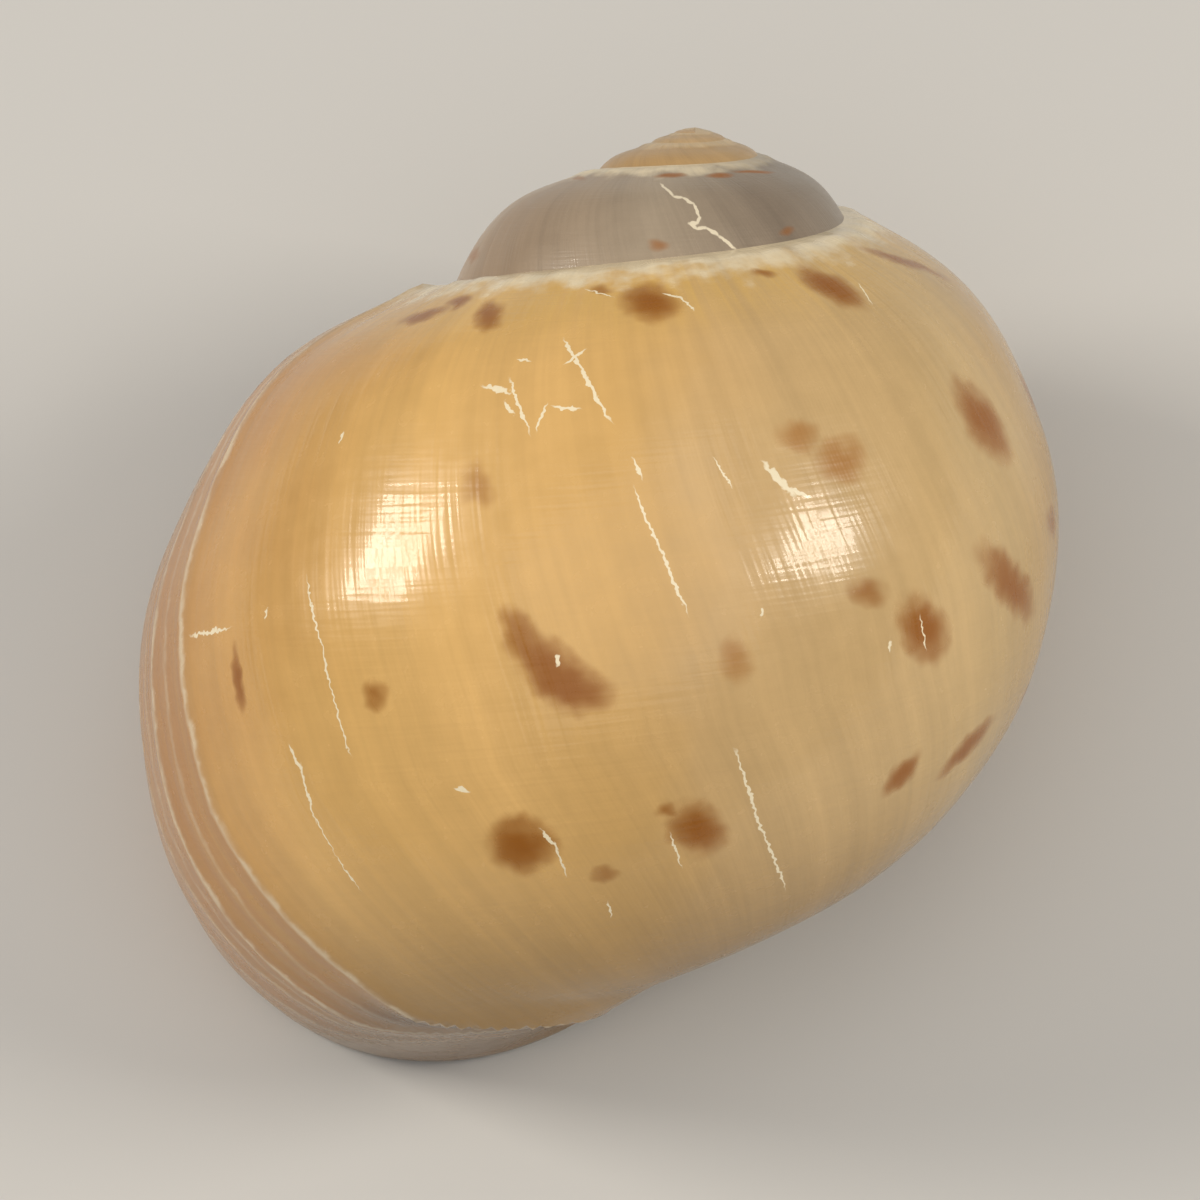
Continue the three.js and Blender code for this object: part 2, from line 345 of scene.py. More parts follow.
def bake_place(across, along, low, high):
    """A place on the bake map: across in shell turns, along from 0 to 1, between two heights."""
    size = np.exp(RADIAL_GROWTH[0] * across)
    first, last = np.exp(RADIAL_GROWTH[0] * FIRST_TURN), np.exp(RADIAL_GROWTH[0] * LIP_TURN)
    return bake_inset((size - first) / (last - first)), lerp(low, high, along)


def corner_values(glaze, low, high):
    turns = np.broadcast_to(COLUMN_TURN, TURN.shape)
    along = np.broadcast_to(ROWS / LAST_ROW, TURN.shape)
    bake = bake_place(turns, along, low, high)
    places = [TURN * MM_PER_TURN, ANGLE * MM_PER_DEGREE, turns, glaze + 0 * TURN, *bake]
    return np.stack(places, -1)


TIP_RISE = 0.1               # how far the apex stands over the first whorl


def shell_mesh():
    outer = outer_points(raised=True)
    inner = inner_points()
    rim = rim_points(outer, inner)
    across = LAST_ROW + 1
    outer_count = outer.shape[0] * across

    # A whorl's suture row is the attach row of the whorl before it, and so on the columella.
    outer_number = COLUMNS * across + ROWS
    inner_number = outer_number + outer_count
    outer_number[COLUMN_SHIFT:, 0] = outer_number[:-COLUMN_SHIFT, ATTACH_ROW]
    outer_number[LAST_COLUMN, LAST_ROW] = outer_number[FULL_COLUMN, RIM_ROW]
    inner_number[COLUMN_SHIFT:, 0] = outer_number[:-COLUMN_SHIFT, ATTACH_ROW + FOOT_ROWS]
    inner_number[COLUMN_SHIFT:, LAST_ROW] = outer_number[:-COLUMN_SHIFT, RIM_ROW - FOOT_ROWS]
    rim_number = 2 * outer_count + np.arange(across * (FOOT_ROWS - 1)).reshape(across, -1)
    rim_number[0] = outer_number[FULL_COLUMN, ATTACH_ROW + 1:ATTACH_ROW + FOOT_ROWS]
    rim_number[-1] = outer_number[FULL_COLUMN, RIM_ROW - 1:RIM_ROW - FOOT_ROWS:-1]
    ends = outer_number[LAST_COLUMN][:, None], inner_number[LAST_COLUMN][:, None]
    rim_number = np.concatenate([ends[0], rim_number, ends[1]], 1)

    # Outside the shell the glaze is 0; on the lip, in the aperture and on the wall that the
    # aperture faces it rises to 1.
    full_turn = COLUMN_TURN[FULL_COLUMN, 0]
    parietal = smooth(-COLUMN_TURN, -full_turn - PARIETAL_FADE, -full_turn)
    beside = smooth(ROWS, ATTACH_ROW, ATTACH_ROW + FOOT_ROWS)
    outside = corner_values(parietal * beside, *BAKE_OUTSIDE)
    inside = corner_values(1, *BAKE_INSIDE)

    skin = Skin()
    full, hidden = FULL_COLUMN, CAVITY_COLUMN - COLUMN_SHIFT
    skin.quads(outer_number[:full + 1, :ATTACH_ROW + 1], outside[:full + 1, :ATTACH_ROW + 1])
    bare = slice(hidden, full + 1), slice(ATTACH_ROW + FOOT_ROWS, RIM_ROW - FOOT_ROWS + 1)
    skin.quads(outer_number[bare], outside[bare])
    skin.quads(outer_number[full:], outside[full:])
    skin.quads(inner_number[CAVITY_COLUMN:], inside[CAVITY_COLUMN:], flip=True)

    lip = outside[LAST_COLUMN][:, None, :].repeat(FOOT_ROWS + 1, 1)
    rounds = np.linspace(0, 1, FOOT_ROWS + 1)
    lip[:, :, 3] = rounds
    lip[:, :, 4] = bake_inset(np.linspace(0, 1, across))[:, None]
    lip[:, :, 5] = lerp(*BAKE_LIP, rounds)
    skin.quads(rim_number, lip, flip=True)

    # The three ends: the tip of the spire, the top of the umbilicus and the end of the hollow
    def path(grid, places):
        return [grid[place] for place in places]

    tip = [(column, 0) for column in range(COLUMN_SHIFT + 1)]
    tip += [(0, row) for row in range(ATTACH_ROW - 1, 0, -1)]
    navel = [(column, LAST_ROW) for column in range(LAST_COLUMN, full - 1, -1)]
    navel += [(full, row) for row in range(LAST_ROW - 1, RIM_ROW, -1)]
    end = [(CAVITY_COLUMN, row) for row in range(LAST_ROW + 1)]
    far = [(hidden, row) for row in range(RIM_ROW - FOOT_ROWS - 1, ATTACH_ROW + FOOT_ROWS, -1)]
    loops = (
        (path(outer_number, tip), path(outside, tip), TIP_RISE, 0),
        (path(outer_number, navel), path(outside, navel), 0, 0),
        (path(inner_number, end) + path(outer_number, far),
         path(inside, end) + path(outside, far), None, 1),
    )
    points = np.concatenate([outer.reshape(-1, 3), inner.reshape(-1, 3), rim.reshape(-1, 3)])
    for order, (loop, values, rise, glaze) in enumerate(loops):
        hub = points[loop].mean(0)
        if rise is not None:
            hub = np.array([0, 0, hub[2] + rise])
        spin = np.linspace(0, 2 * math.pi, len(loop), endpoint=False)
        place = np.array([BAKE_DISC_SPACING * (1 + order), BAKE_DISC_HEIGHT])
        values = np.array(values)
        values[:, 3] = np.maximum(values[:, 3], glaze)
        values[:, 4:] = place + BAKE_DISC_RADIUS * np.stack([np.cos(spin), np.sin(spin)], 1)
        hub_value = [*values[:, :4].mean(0), *place]
        points = np.concatenate([points, [hub]])
        skin.fan(loop, values, len(points) - 1, hub_value)
    return points, skin


# Laying the shell down ---------------------------------------------------------------------------
turned = [Matrix.Rotation(angle * DEGREE, 3, axis) for angle, axis in zip(REST_TURN, "XYZ")]
REST = np.array(turned[0] @ turned[1] @ turned[2])
plain = outer_points(raised=False).reshape(-1, 3) @ REST.T
lowest, highest = plain.min(0), plain.max(0)
SHIFT = -np.array([*(lowest + highest)[:2] / 2, lowest[2]])
SHARP_ANGLE = 38             # edges that fold by more than this stay sharp


def placed(points):
    """Points of the upright shell, in millimetres, as places in the frame, in metres."""
    return (np.asarray(points) @ REST.T + SHIFT) * MM


def build_shell():
    points, skin = shell_mesh()
    numbers = np.concatenate([np.array(face) for face in skin.faces])
    used, numbers = np.unique(numbers, return_inverse=True)
    sizes = [len(face) for face in skin.faces]
    faces = [part.tolist() for part in np.split(numbers, np.cumsum(sizes)[:-1])]
    places = placed(points[used])
    places[:, 2] = np.maximum(places[:, 2], 0)

    mesh = bpy.data.meshes.new("shell_surface")
    mesh.from_pydata(places.tolist(), [], faces)
    values = np.concatenate(skin.corners).astype(np.float32)
    for name, column in (("Growth", 0), ("OFBake", 4)):
        layer = mesh.uv_layers.new(name=name, do_init=False)
        layer.uv.foreach_set("vector", values[:, column:column + 2].ravel())
    for name, column in (("growth_line", 2), ("glaze", 3)):
        attribute = mesh.attributes.new(name, "FLOAT", "CORNER")
        attribute.data.foreach_set("value", values[:, column].copy())
    mesh.shade_smooth()
    mesh.set_sharp_from_angle(angle=SHARP_ANGLE * DEGREE)
    piece = bpy.data.objects.new("glazed_shell", mesh)
    bpy.context.scene.collection.objects.link(piece)
    return piece


# Material ---------------------------------------------------------------------------------------
class Graph:
    """Short forms for building a node tree."""

    def __init__(self, tree):
        self.tree = tree

    def add(self, kind, sockets, **settings):
        node = self.tree.nodes.new(kind)
        for name, value in settings.items():
            setattr(node, name, value)
        for key, value in sockets.items():
            if isinstance(value, bpy.types.NodeSocket):
                self.tree.links.new(value, node.inputs[key])
            else:
                node.inputs[key].default_value = value
        return node

    def math(self, operation, a, b=0.0, c=0.0):
        return self.add("ShaderNodeMath", {0: a, 1: b, 2: c}, operation=operation).outputs[0]

    def move(self, operation, a, b):
        return self.add("ShaderNodeVectorMath", {0: a, 1: b}, operation=operation).outputs["Vector"]

    def dot(self, a, b):
        node = self.add("ShaderNodeVectorMath", {0: a, 1: b}, operation="DOT_PRODUCT")
        return node.outputs["Value"]

    def rise(self, value, start, end, low=0.0, high=1.0):
        """Goes smoothly from low to high as value goes from start to end, up or down."""
        sockets = {0: value, 1: start, 2: end, 3: low, 4: high}
        return self.add("ShaderNodeMapRange", sockets, interpolation_type="SMOOTHSTEP").outputs[0]

    def rise_linear(self, value, start, end):
        return self.add("ShaderNodeMapRange", {0: value, 1: start, 2: end}).outputs[0]

    def band(self, value, middle, width):
        """1 at the middle, falling to 0 a width away on either side."""
        away = self.math("ABSOLUTE", self.math("SUBTRACT", value, middle))
        return self.rise(away, width, 0.0)

    def mix(self, share, a, b, blend="MIX"):
        colours = {0: share, 6: a, 7: b}
        node = self.add("ShaderNodeMix", colours, data_type="RGBA", blend_type=blend)
        return node.outputs[2]

    def vector(self, x, y, z=0.0):
        return self.add("ShaderNodeCombineXYZ", {0: x, 1: y, 2: z}).outputs[0]

    def noise(self, vector, scale=1.0, detail=2.0):
        sockets = {"Vector": vector, "Scale": scale, "Detail": detail}
        return self.add("ShaderNodeTexNoise", sockets).outputs["Fac"]

    def wobble(self, vector, scale, detail, reach):
        """A map displacement of up to half of reach either way."""
        sockets = {"Vector": vector, "Scale": scale, "Detail": detail}
        field = self.add("ShaderNodeTexNoise", sockets).outputs["Color"]
        field = self.move("MULTIPLY", field, (reach, reach, 0))
        return self.move("SUBTRACT", field, (reach / 2, reach / 2, 0))

    def times(self, *factors):
        result = factors[0]
        for factor in factors[1:]:
            result = self.math("MULTIPLY", result, factor)
        return result

    def swing(self, noise, reach, base=0.0):
        """base plus the noise, centred on 0 and scaled by reach."""
        return self.math("MULTIPLY_ADD", self.math("SUBTRACT", noise, 0.5), reach, base)

    def ramp(self, value, stops):
        node = self.add("ShaderNodeValToRGB", {0: value})
        elements = node.color_ramp.elements
        for place, colour in stops[1:-1]:
            elements.new(place).color = colour
        elements[0].position, elements[0].color = stops[0]
        elements[-1].position, elements[-1].color = stops[-1]
        return node.outputs[0]


def tint(red, green, blue):
    """A display colour, 0 to 255, as a linear one."""
    shares = [value / 255 for value in (red, green, blue)]
    linear = [s / 12.92 if s <= 0.04045 else ((s + 0.055) / 1.055) ** 2.4 for s in shares]
    return (*linear, 1.0)


# Colour along growth: turn, display colour
GROWTH_COLOURS = (
    (-4.25, (208, 174, 132)),
    (-2.60, (195, 164, 119)),
    (-2.10, (190, 153, 102)),
    (-1.75, (167, 137, 100)),
    (-1.45, (140, 126, 110)),
    (-1.33, (142, 126, 108)),
    (-1.20, (170, 153, 131)),
    (-1.05, (161, 136, 110)),
    (-0.92, (192, 154, 107)),
    (-0.75, (203, 162, 101)),
    (-0.60, (199, 162, 107)),
    (-0.46, (198, 160, 100)),
    (-0.40, (209, 178, 125)),
    (-0.34, (214, 180, 126)),
    (-0.29, (213, 178, 124)),
    (-0.255, (216, 178, 121)),
    (-0.235, (222, 178, 109)),
    (-0.19, (234, 188, 117)),
    (-0.13, (230, 184, 111)),
    (-0.08, (213, 163, 93)),
    (-0.04, (198, 143, 74)),
    (0.0625, (200, 153, 98)),
)
SUTURE_CREAM = (240, 224, 190)
SHOULDER_YELLOW = (222, 180, 98)
# Olive tint of the base, darkened further as painted shade
BASE_OLIVE_SHADED = (150, 112, 52)
LIP_CREAM = (184, 164, 127)
GLAZE_CREAM = (222, 200, 168)
LIP_BROWN = (180, 126, 72)
CHECK_PALE = (232, 212, 178)
# Painted shade: the grey of the band under the base's step
LIP_SHADE_GREY = (118, 98, 74)
# Painted shadow: the dark line in the crevice below the base's step
CREVICE_SHADOW_BROWN = (84, 54, 30)
SPOT_BROWN = (156, 92, 0)
SPOT_FADED = (182, 128, 66)
# Pale of the scratches, partly wear and partly painted glint
SCRATCH_PALE_GLINT = (255, 240, 205)
CRACK_PALE = (240, 226, 198)

# Markings. Their places were read off the photo, turned into places on the shell by a scratch
# program, rounded, and in part changed by hand. Those on the side that faces away are invented.
# Brown spots: turn, angle, half length and half width in mm on the map, tilt in degrees, faintness
SPOTS = (
    (-0.091, 65, 1.5, 0.50, -8, 0.09),
    (-0.105, 69, 1.0, 0.35, 12, 0.12),
    (-0.139, 64, 1.5, 0.60, 29, 0.24),
    (-0.227, 65, 1.9, 1.00, 20, 0.18),
    (-0.195, 71, 1.0, 0.35, 14, 0.78),
    (-0.298, 71, 1.1, 0.30, 9, 0.60),
    (-0.337, 64, 1.9, 1.00, 30, 0.06),
    (-0.427, 65, 3.7, 0.50, 24, 0.24),
    (-0.397, 31, 1.9, 1.10, 35, 0.09),
    (-0.397, 1, 2.8, 0.80, 31, 0.15),
    (-0.448, 7, 1.3, 0.70, 14, 0.72),
    (-0.344, -2, 1.5, 0.90, 36, 0.12),
    (-0.318, 7, 1.1, 0.55, 19, 0.72),
    (-0.196, 7, 1.2, 0.60, 38, 0.60),
    (-0.204, 2, 1.4, 0.70, 34, 0.15),
    (-0.212, -2, 1.5, 0.75, 25, 0.00),
    (-0.194, -29, 1.25, 0.95, 9, 0.12),
    (-0.257, -31, 1.25, 0.85, 30, 0.09),
    (-0.245, -26, 0.55, 0.25, 18, 0.72),
    (-0.223, -37, 0.7, 0.35, 14, 0.90),
    (-0.146, -2, 0.65, 0.50, 14, 0.66),
    (-0.088, 1, 1.0, 0.30, 71, 0.24),
    (-0.344, -29, 0.95, 0.60, -28, 0.18),
    (-0.385, -29, 1.8, 0.60, -19, 0.21),
    (-1.222, 33, 1.3, 0.40, 11, 0.90),
    (-1.215, 71, 2.6, 0.50, 0, 0.24),
    (-1.290, 70, 2.3, 0.50, 1, 0.18),
    (-1.356, 70, 4.0, 0.30, 7, 0.12),
    (-1.049, 71, 4.0, 0.40, 7, 0.72),
    (-1.015, 32, 2.7, 0.50, 3, 0.84),
    (-1.343, 34, 1.4, 0.35, -4, 0.95),
)
# Faded spots, in the same form
FADED_SPOTS = (
    (-0.294, 35, 1.05, 0.60, 7, 0.6),
    (-0.312, 30, 1.3, 0.75, 0, 0.42),
    (-0.268, -1, 0.95, 0.65, 53, 0.72),
    (-0.173, 31, 1.0, 0.55, 39, 0.72),
)
# Rows of spots on the side that faces away: angle, first turn, spacing in turns, count
SPOT_ROWS = (
    (64, -0.520, -0.092, 5),
    (31, -0.480, -0.083, 6),
    (0, -0.505, -0.088, 5),
    (-31, -0.450, -0.079, 6),
    (-58, -0.480, -0.110, 5),
)
# Scratches, worn pale and with painted glints: half width in mm, faintness, points as turn and angle
SCRATCHES = (
    (0.035, 0.24, ((-0.115, 16), (-0.125, 6), (-0.129, 0), (-0.135, -10))),
    (0.050, 0.24, ((-0.112, -10), (-0.116, -14), (-0.118, -21))),
    (0.030, 0.56, ((-0.118, -21), (-0.123, -28), (-0.128, -34))),
    (0.050, 0.32, ((-0.232, 28), (-0.241, 19), (-0.250, 9))),
    (0.050, 0, ((-0.271, -19), (-0.280, -31), (-0.284, -35), (-0.297, -47))),
    (0.045, 0.16, ((-0.202, -27), (-0.206, -30), (-0.208, -35))),
    (0.035, 0.32, ((-0.247, -31), (-0.251, -37))),
    (0.040, 0.4, ((-0.2225, -43), (-0.223, -46))),
    (0.050, 0.08, ((-0.235, 67), (-0.243, 65.5), (-0.250, 62))),
    (0.040, 0.4, ((-0.187, 71), (-0.203, 68))),
    (0.050, 0.08, ((-0.359, 62), (-0.357, 58))),
    (0.060, 0.08, ((-0.192, 55), (-0.203, 49.5), (-0.217, 41.5))),
    (0.060, 0.16, ((-0.196, 51), (-0.201, 53))),
    (0.070, 0.16, ((-0.164, 47), (-0.174, 46))),
    (0.050, 0.24, ((-0.175, 47), (-0.187, 40))),
    (0.060, 0.24, ((-0.175, 44), (-0.179, 42.5))),
    (0.060, 0.16, ((-0.191, 40), (-0.192, 43))),
    (0.050, 0.24, ((-0.196, 43), (-0.205, 42.5))),
    (0.050, 0.16, ((-0.1735, 52), (-0.178, 51.5))),
    (0.060, 0.16, ((-0.230, 33.5), (-0.2325, 31.5))),
    (0.040, 0.32, ((-0.261, 32.5), (-0.266, 28.5))),
    (0.110, 0.08, ((-0.281, 30.5), (-0.289, 26.5))),
    (0.060, 0.16, ((-0.289, 26.5), (-0.296, 25))),
    (0.060, 0.4, ((-0.060, 8), (-0.079, 9))),
    (0.030, 0.24, ((-0.342, 0), (-0.345, -5))),
    (0.060, 0.16, ((-0.1055, 40), (-0.106, 39))),
    (0.050, 0.4, ((-0.099, 12), (-0.099, 11))),
    (0.070, 0.08, ((-0.2085, 2.5), (-0.2085, 1.5))),
    (0.070, 0.08, ((-0.174, -18), (-0.177, -18.5))),
    (0.060, 0.32, ((-0.328, -3), (-0.328, -4))),
    (0.060, 0.16, ((-0.277, 6.5), (-0.277, 6))),
)
CRACK = (
    (-1.208, 63), (-1.229, 53), (-1.238, 52), (-1.250, 48.5), (-1.2565, 42), (-1.254, 40),
    (-1.247, 40), (-1.2535, 38), (-1.262, 38), (-1.273, 35), (-1.287, 30),
)
CRACK_WIDTH = 0.17
SPOT_EDGE = 2.3              # squared distance, in half sizes, at which a spot has faded out
SCRATCH_EDGE = (2.4, 1.0)
CRACK_EDGE = (1.4, 0.4)
SPOT_BLEND = 1.0             # how far spots close together run into each other
SPOT_WOBBLE = (1.1, 1.0, 0.8)           # noise scale per mm, detail and reach in mm on the map
SCRATCH_WOBBLE = (4.0, 1.0, 0.3)


def nearest(g, place, marks, blend=0.0):
    """Squared distance to the nearest of some oval marks, in half sizes, plus its faintness.

    A mark is turn, angle, half length and half width in mm on the map, tilt and faintness.
    Marks that are close together run into each other where blend is above 0."""
    result = None
    for turn, angle, length, width, tilt, faintness in marks:
        cos, sin = math.cos(tilt * DEGREE), math.sin(tilt * DEGREE)
        middle = (turn * MM_PER_TURN, angle * MM_PER_DEGREE, 0)
        local = g.move("SUBTRACT", place, middle)
        along = g.dot(local, (cos / length, sin / length, 0))
        across = g.dot(local, (-sin / width, cos / width, 0))
        far = g.math("MULTIPLY_ADD", along, along, faintness)
        far = g.math("MULTIPLY_ADD", across, across, far)
        result = far if result is None else g.math("SMOOTH_MIN", result, far, blend)
    return result


HIDDEN_SPOT_SIZE = (1.5, 0.8)
HIDDEN_SPOT_CHANGE = (0.4, -0.2)
HIDDEN_SPOT_TILT = 28
HIDDEN_SPOT_FAINTNESS = 0.4


def hidden_spots():
    """The spots of the side that faces away, each a little different from the last."""
    spots = []
    for angle, first, spacing, count in SPOT_ROWS:
        for i in range(count):
            wave = math.sin(2.4 * i + angle)
            turn = first + spacing * (i + 0.12 * wave)
            size = [a + b * wave for a, b in zip(HIDDEN_SPOT_SIZE, HIDDEN_SPOT_CHANGE)]
            place = turn, angle + 3 * wave
            spots.append((*place, *size, HIDDEN_SPOT_TILT, HIDDEN_SPOT_FAINTNESS))
    return spots


def segments(width, faintness, points):
    """A scratch through some points, as marks."""
    marks = []
    for start, end in zip(points, points[1:]):
        middle = [(a + b) / 2 for a, b in zip(start, end)]
        across = (end[0] - start[0]) * MM_PER_TURN
        up = (end[1] - start[1]) * MM_PER_DEGREE
        half = math.hypot(across, up) / 2 + width
        marks.append((*middle, half, width, math.atan2(up, across) / DEGREE, faintness))
    return marks


# Pattern scales, per mm: growth bands, threads and striae, spiral striae, clouds and mottle
BAND_SCALE = 0.22
THREAD_SCALE = 1.6
GROWTH_STRIA_SCALE = 3.5
SPIRAL_STRIA_SCALE = 4.5
CLOUD_SCALE = 0.16
MOTTLE_SCALE = 0.9
STRETCH = 0.05               # a streak's scale along its length over that across it

# Heights of the fine relief in mm
GROWTH_STRIA_HEIGHT = 0.017
SPIRAL_STRIA_HEIGHT = 0.013
UNEVEN_HEIGHT = 0.006

# Zones, as section angles in degrees or as turns
COLOUR_WANDER = 0.06
SHOULDER_ANGLES = (50, 70)
SHOULDER_TURNS = (-1.0, -0.8)
SHOULDER_SHARE = 0.75
SUTURE_ANGLES = (69, 79)
SUTURE_SHARE = 0.9
SUTURE_WANDER = 22.0
SUTURE_TURNS = (-1.5, -1.1)
EARLY_SUTURE_SHARE = 0.4
BASE_ANGLES = (-24, -80)
BASE_SHARE = 0.85
RIM_ANGLES = (-84, -104)
RIM_SHARE = 0.7
LATE_TURNS = (-0.066, -0.058)
CHECK_WANDER = 0.006
CHECK_COLOUR_WIDTH = 0.6     # of the check's own width
CHECK_PALE_PER_MM = 5
# Painted shade under the base's step: its strength and the angles where it starts and ends
LIP_SHADE_SHARE = 0.6
LIP_SHADE_ANGLES = (-52, -72)
LIP_SHADE_END = (-130, -100)
# Painted shadow line in the crevice below the base's step: its middle, width and strength
CREVICE_TURN = TERRACE_TURN + 1.2 * TERRACE_FALL
CREVICE_WIDTH = 0.022
CREVICE_SHARE = 0.9

ROUGHNESS = (0.20, 0.28)
EARLY_WHORL_TURNS = (-0.95, -1.05)
EARLY_WHORL_ROUGHNESS = 0.15
SPOT_ROUGHNESS = 0.05
COAT_WEIGHT = 0.3
COAT_ROUGHNESS = 0.06
IOR = 1.5


def ground_colour(g, turn, angle, clouds, mottle, threads):
    """Colour along growth, then the shoulder, the suture's edge, the base with painted shade and the
    lip's rim.
    """
    first, last = GROWTH_COLOURS[0][0], GROWTH_COLOURS[-1][0]
    stops = [((t - first) / (last - first), tint(*c)) for t, c in GROWTH_COLOURS]
    along = g.rise_linear(g.swing(clouds, COLOUR_WANDER, turn), first, last)
    colour = g.ramp(along, stops)
    streaked = g.rise(threads, 0.25, 0.75, 0.35, 1.0)
    shoulder = g.times(g.rise(angle, *SHOULDER_ANGLES), g.rise(turn, *SHOULDER_TURNS), streaked)
    colour = g.mix(g.times(shoulder, SHOULDER_SHARE), colour, tint(*SHOULDER_YELLOW))
    edge = g.rise(g.swing(mottle, SUTURE_WANDER, angle), *SUTURE_ANGLES, 0.0, SUTURE_SHARE)
    cream = g.times(edge, g.rise(turn, *SUTURE_TURNS, EARLY_SUTURE_SHARE, 1.0))
    colour = g.mix(cream, colour, tint(*SUTURE_CREAM))
    # The base takes an olive tint, darkened further as painted shade where it faces down
    colour = g.mix(g.rise(angle, *BASE_ANGLES, 0.0, BASE_SHARE), colour, tint(*BASE_OLIVE_SHADED))
    return g.mix(g.rise(angle, *RIM_ANGLES, 0.0, RIM_SHARE), colour, tint(*LIP_CREAM))


def growth_shading(g, colour, bands, threads, mottle):
    """Light and dark growth bands, finer threads and soft clouds."""
    banded = g.rise(bands, 0.3, 0.7, 0.93, 1.05)
    shade = g.math("ADD", banded, g.rise(threads, 0.3, 0.7, -0.035, 0.03))
    shade = g.math("ADD", shade, g.rise(mottle, 0.3, 0.7, -0.02, 0.02))
    return g.mix(1.0, colour, g.vector(shade, shade, shade), "MULTIPLY")


def late_growth(g, colour, line_turn, angle, threads, mottle):
    """The last growth before the lip: browner, with pale checks, and painted shade under the base's
    step.
    """
    delayed = g.math("ADD", line_turn, g.rise(angle, *BASE_DELAY_ANGLES, 0.0, BASE_DELAY))
    late = g.rise(delayed, *LATE_TURNS)
    brown = g.times(late, g.rise(threads, 0.35, 0.6, 0.2, 0.6))
    colour = g.mix(brown, colour, tint(*LIP_BROWN))
    worn = g.rise(mottle, 0.38, 0.58, 0.55, 1.0)
    sway = g.swing(mottle, CHECK_WANDER, delayed)
    for check, height, width, drift in CHECKS:
        drifted = g.math("MULTIPLY_ADD", angle, drift, sway)
        pale = g.times(g.band(drifted, check, CHECK_COLOUR_WIDTH * width), worn)
        pale = g.times(pale, min(1.0, CHECK_PALE_PER_MM * height))
        colour = g.mix(pale, colour, tint(*CHECK_PALE))
    # Painted shade: the band under the base's step turns grey
    low = g.times(g.rise(angle, *LIP_SHADE_ANGLES), g.rise(angle, *LIP_SHADE_END))
    colour = g.mix(g.times(late, low, LIP_SHADE_SHARE), colour, tint(*LIP_SHADE_GREY))
    # Painted shadow: a dark brown line in the crevice just below the base's step
    crevice = g.times(g.band(delayed, CREVICE_TURN, CREVICE_WIDTH), low, CREVICE_SHARE)
    return g.mix(crevice, colour, tint(*CREVICE_SHADOW_BROWN))


def markings(g, colour, place, space):
    """Spots, scratches with painted glints and the crack. Also gives how brown a point is."""
    torn = g.move("ADD", place, g.wobble(space, *SPOT_WOBBLE))
    faded = g.rise(nearest(g, torn, FADED_SPOTS, SPOT_BLEND), SPOT_EDGE, 0.0)
    colour = g.mix(faded, colour, tint(*SPOT_FADED))
    spots = [*SPOTS, *hidden_spots()]
    brown = g.rise(nearest(g, torn, spots, SPOT_BLEND), SPOT_EDGE, 0.0)
    colour = g.mix(brown, colour, tint(*SPOT_BROWN))
    frayed = g.move("ADD", place, g.wobble(space, *SCRATCH_WOBBLE))
    scratches = [part for scratch in SCRATCHES for part in segments(*scratch)]
    scratch_glint = g.rise(nearest(g, frayed, scratches), *SCRATCH_EDGE)
    # Scratches: pale from wear, and painted glints where they catch the light
    colour = g.mix(scratch_glint, colour, tint(*SCRATCH_PALE_GLINT))
    cracked = g.rise(nearest(g, frayed, segments(CRACK_WIDTH, 0, CRACK)), *CRACK_EDGE)
    return g.mix(cracked, colour, tint(*CRACK_PALE)), brown


